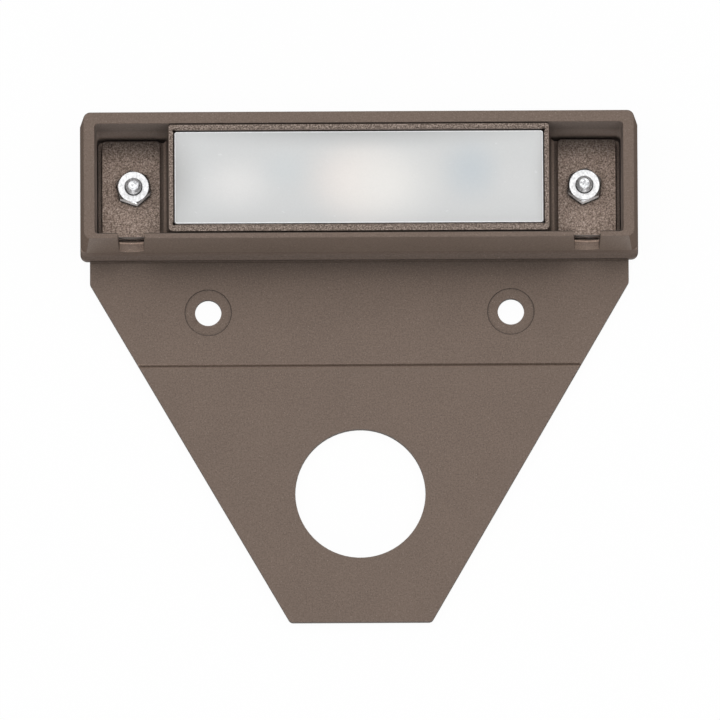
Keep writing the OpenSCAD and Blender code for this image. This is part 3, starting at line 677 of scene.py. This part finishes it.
class Tree:
    """A geometry node tree with named inputs, which ends in Realize Instances and Set Material."""

    def __init__(self, name, inputs):
        self.group = bpy.data.node_groups.new(name, "GeometryNodeTree")
        self.socket("Geometry", "INPUT", "Geometry")
        for label, (kind, value) in inputs.items():
            self.socket(label, "INPUT", kind).default_value = value
        self.socket("Geometry", "OUTPUT", "Geometry")
        self.given = self.group.nodes.new("NodeGroupInput").outputs

    def socket(self, label, side, kind):
        return self.group.interface.new_socket(
            label, in_out=side, socket_type="NodeSocket" + kind)

    def node(self, kind, inputs=None, **settings):
        return add(self.group, kind, inputs, **settings)

    def math(self, operation, *values):
        return self.node("ShaderNodeMath", dict(enumerate(values)), operation=operation).outputs[0]

    def end(self, geometry, material):
        real = self.node("GeometryNodeRealizeInstances", {"Geometry": geometry})
        dressed = self.node("GeometryNodeSetMaterial", {
            "Geometry": real.outputs["Geometry"], "Material": material})
        self.node("NodeGroupOutput", {"Geometry": dressed.outputs["Geometry"]})
        return self.group


def grown(group, values):
    """The plain mesh that a tree makes from these input values."""
    item = placed(bmesh.new(), group.name)
    modifier = item.modifiers.new(group.name, "NODES")
    modifier.node_group = group
    names = {socket.name: socket.identifier for socket in group.interface.items_tree
             if socket.in_out == "INPUT"}
    for label, value in values.items():
        modifier[names[label]] = value
    return plain_mesh(item)


def threaded_rod(material):
    """A rod with a cut thread and a chamfered end: one surface, its radius set by a rule."""
    tree = Tree("threaded rod", {
        "Radius": ("Float", STUD_RADIUS * MM), "Depth": ("Float", THREAD_DEPTH * MM),
        "Pitch": ("Float", PITCH * MM), "Chamfer": ("Float", END_CHAMFER * MM),
        "Thread Start": ("Float", 0.0), "Bottom": ("Float", 0.0), "Top": ("Float", 10 * MM),
        "Sides": ("Int", 64), "Rings": ("Int", 160)})
    given, math_of = tree.given, tree.math
    grid = tree.node("GeometryNodeMeshGrid", {
        "Size X": 1.0, "Size Y": 1.0, "Vertices X": given["Sides"], "Vertices Y": given["Rings"]})
    place = tree.node("GeometryNodeInputPosition")
    parts = tree.node("ShaderNodeSeparateXYZ", {0: place.outputs[0]})
    turn = math_of("ADD", parts.outputs["X"], 0.5)
    rise = math_of("ADD", parts.outputs["Y"], 0.5)
    length = math_of("SUBTRACT", given["Top"], given["Bottom"])
    height = math_of("MULTIPLY_ADD", rise, length, given["Bottom"])

    turns_up = math_of("DIVIDE", height, given["Pitch"])
    phase = math_of("FRACT", math_of("SUBTRACT", turns_up, turn))
    wave = math_of("ABSOLUTE", math_of("MULTIPLY_ADD", phase, 2.0, -1.0))
    flank = math_of("MULTIPLY_ADD", wave, FLANK, CREST)
    share = math_of("MINIMUM", math_of("MAXIMUM", flank, 0.0), 1.0)
    started = math_of("GREATER_THAN", height, given["Thread Start"])
    cut = math_of("MULTIPLY", math_of("MULTIPLY", share, started), given["Depth"])
    threaded = math_of("SUBTRACT", given["Radius"], cut)
    end_radius = math_of("SUBTRACT", given["Radius"], given["Chamfer"])
    cone = math_of("ADD", end_radius, math_of("SUBTRACT", given["Top"], height))
    radius = math_of("MINIMUM", threaded, cone)

    angle = math_of("MULTIPLY", turn, 2 * math.pi)
    spot = tree.node("ShaderNodeCombineXYZ", {
        "X": math_of("MULTIPLY", radius, math_of("COSINE", angle)),
        "Y": math_of("MULTIPLY", radius, math_of("SINE", angle)), "Z": height})
    wall = tree.node("GeometryNodeSetPosition", {
        "Geometry": grid.outputs["Mesh"], "Position": spot.outputs[0]})
    disc = tree.node("GeometryNodeMeshCircle", {
        "Vertices": math_of("SUBTRACT", given["Sides"], 1.0), "Radius": end_radius},
        fill_type="NGON")
    lifted = tree.node("ShaderNodeCombineXYZ", {"Z": given["Top"]})
    cap = tree.node("GeometryNodeTransform", {
        "Geometry": disc.outputs["Mesh"], "Translation": lifted.outputs[0]})
    joined = tree.node("GeometryNodeJoinGeometry")
    for part in (cap.outputs["Geometry"], wall.outputs["Geometry"]):
        tree.group.links.new(part, joined.inputs["Geometry"])
    closed = tree.node("GeometryNodeMergeByDistance", {
        "Geometry": joined.outputs[0], "Distance": 0.001 * MM})
    return tree.end(closed.outputs["Geometry"], material)


def stud(side):
    """The stud: its pressed head from the CAD model and, above it, the threaded shank."""
    node = "stud_" + side
    low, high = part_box(node)
    axis = (low + high) / 2
    head_top = low.z + STUD_HEAD * MM
    mesh = merged([node])
    bmesh.ops.bisect_plane(mesh, geom=mesh.verts[:] + mesh.edges[:] + mesh.faces[:],
                           plane_co=(0, 0, head_top + HEAD_OVERLAP * MM), plane_no=(0, 0, 1),
                           clear_outer=True)
    finishes = [steel, thread_steel, stud_end]
    for face in mesh.faces:
        face.material_index = finishes.index(steel)
    shank = grown(rod, {
        "Radius": STUD_RADIUS * MM, "Depth": THREAD_DEPTH * MM, "Pitch": PITCH * MM,
        "Chamfer": END_CHAMFER * MM, "Thread Start": head_top + PLAIN_SHANK * MM,
        "Bottom": head_top, "Top": high.z})
    shank.transform(Matrix.Translation((axis.x, axis.y, 0)))
    head_faces = len(mesh.faces)
    mesh.from_mesh(shank)
    mesh.faces.ensure_lookup_table()
    for face in mesh.faces[head_faces:]:
        face.material_index = finishes.index(stud_end if face.normal.z > 0.9 else thread_steel)
    piece("threaded_stud_" + side, mesh, finishes, [node], smooth=50)


def nut(side):
    """The nut with the sharp edges of its flats and chamfers just broken."""
    # The flats get a lighter copy of the plating as a painted reflection, the narrow roundings
    # beside the top and bottom a near-black copy as painted shade
    def finish(spot, way):
        tilt = abs(way.z)
        return (zinc if tilt > 0.9995 else zinc_line if tilt > 0.9
                else zinc_chamfer if tilt > 0.6 else zinc_flats)

    node = "nut_" + side
    mesh = soften(merged([node]), NUT_ROUND, angle=20)
    finishes = [zinc, zinc_flats, zinc_line, zinc_chamfer]
    paint_faces(mesh, finishes, finish)
    piece("hex_nut_" + side, mesh, finishes, [node], side + "_nut", smooth=25)


# Small inner pieces: node, finish, slot, rounded edge in mm
INNER = [
    ("lens_gasket", rubber, "black_rubber", 0.08),
    ("reflector_tray", white_plastic, "white_plastic", 0.1),
    ("led_board", mask, "board_mask", 0.06),
    ("led_packages", ceramic, "led_base", 0.05),
    ("led_domes", yellow, "phosphor", 0.02),
    ("rectifier", epoxy, "black_epoxy", 0.04),
    ("regulator", epoxy, "black_epoxy", 0.04),
    ("choke", ferrite, "ferrite", 0.08),
    ("capacitors", tan, "tan_ceramic", 0.03),
    ("resistors", epoxy, "black_epoxy", 0.02),
    ("lead_header", ivory, "ivory_plastic", 0.06),
    ("thermal_pad", pad_pink, "heat_pad", 0.04),
    ("board_screws", steel, "steel", 0.03),
    ("back_cover", aluminium, "aluminium", 0.1),
    ("cover_gasket", rubber, "black_rubber", 0.06),
    ("cover_screws", steel, "steel", 0.03),
    ("cable_grommet", rubber, "black_rubber", 0.1),
]

casting()
carrier()
lens()
rod = threaded_rod(thread_steel)
for side in ("left", "right"):
    stud(side)
    nut(side)
for node, finish, slot, width in INNER:
    piece("fine_" + node, soften(merged([node]), width), [finish], [node])


# Surroundings: half the floor's width in m, how far it lies under the light in mm, how much of it
# is plain white to the camera, and how strongly the world lights the object
FLOOR = 3
FLOOR_DROP = 0.1
FLOOR_WHITE = 0.96
WORLD_LIGHT = 0.3

# Lamps: name, place in m, width, depth, power in W
LAMPS = [
    ("key", (0.0, 0.15, 0.6), 1.3, 0.9, 5.0),
    ("fill", (0.0, -0.8, 0.16), 0.5, 0.5, 2.7),
]


def seen_directly(tree):
    """1 for what the camera sees straight, in a mirror or through glass, and else 0."""
    path = add(tree, "ShaderNodeLightPath").outputs
    seen = path["Is Camera Ray"]
    for ray in ("Is Glossy Ray", "Is Transmission Ray"):
        seen = add(tree, "ShaderNodeMath", {0: seen, 1: path[ray]}, operation="MAXIMUM").outputs[0]
    return seen


def white_floor():
    """A white floor that keeps a faint shadow."""
    material = bpy.data.materials.new("floor")
    tree = scene_tree(material)
    share = add(tree, "ShaderNodeMath", {0: seen_directly(tree), 1: FLOOR_WHITE},
                operation="MULTIPLY")
    lit = add(tree, "ShaderNodeBsdfDiffuse", {"Color": (0.9, 0.9, 0.9, 1)})
    glow = add(tree, "ShaderNodeEmission", {"Color": (1, 1, 1, 1), "Strength": 1.0})
    both = add(tree, "ShaderNodeMixShader", {
        0: share.outputs[0], 1: lit.outputs[0], 2: glow.outputs[0]})
    add(tree, "ShaderNodeOutputMaterial", {"Surface": both.outputs[0]})
    mesh = bmesh.new()
    bmesh.ops.create_grid(mesh, x_segments=1, y_segments=1, size=FLOOR)
    bmesh.ops.translate(mesh, verts=mesh.verts, vec=(0, 0, -FLOOR_DROP * MM))
    floor = placed(mesh, "floor")
    floor.data.materials.append(material)


def white_world():
    """Plain white surroundings that light the object softly."""
    world = bpy.data.worlds.new("surroundings")
    bpy.context.scene.world = world
    tree = scene_tree(world)
    dim = add(tree, "ShaderNodeBackground", {"Color": (1, 1, 1, 1), "Strength": WORLD_LIGHT})
    white = add(tree, "ShaderNodeBackground", {"Color": (1, 1, 1, 1), "Strength": 1.0})
    both = add(tree, "ShaderNodeMixShader", {
        0: seen_directly(tree), 1: dim.outputs[0], 2: white.outputs[0]})
    add(tree, "ShaderNodeOutputWorld", {"Surface": both.outputs[0]})


def lamps():
    """Wide, soft lamps that face the light."""
    for name, spot, width, depth, power in LAMPS:
        data = bpy.data.lights.new(name, "AREA")
        data.shape, data.size, data.size_y, data.energy = "RECTANGLE", width, depth, power
        lamp = bpy.data.objects.new(name, data)
        lamp.location = spot
        lamp.rotation_euler = (-Vector(spot)).to_track_quat("-Z", "Y").to_euler()
        bpy.context.collection.objects.link(lamp)


def camera():
    """A long lens at the photograph's tilt and scale."""
    data = bpy.data.cameras.new("camera")
    data.lens, data.sensor_width = LENS, SENSOR
    distance = LENS / SENSOR * PICTURE * MM_PER_PIXEL * MM
    data.clip_start, data.clip_end = 0.1, 2 * distance
    item = bpy.data.objects.new("camera", data)
    look = Vector((0, math.sin(TILT), -math.cos(TILT)))
    item.location = AIM - look * distance
    turn = Matrix.Rotation(TILT, 3, "X") @ Matrix.Rotation(ROLL, 3, "Z")
    item.rotation_euler = turn.to_euler()
    bpy.context.collection.objects.link(item)
    bpy.context.scene.camera = item


white_floor()
white_world()
lamps()
camera()
bpy.context.scene.view_settings.view_transform = "Standard"
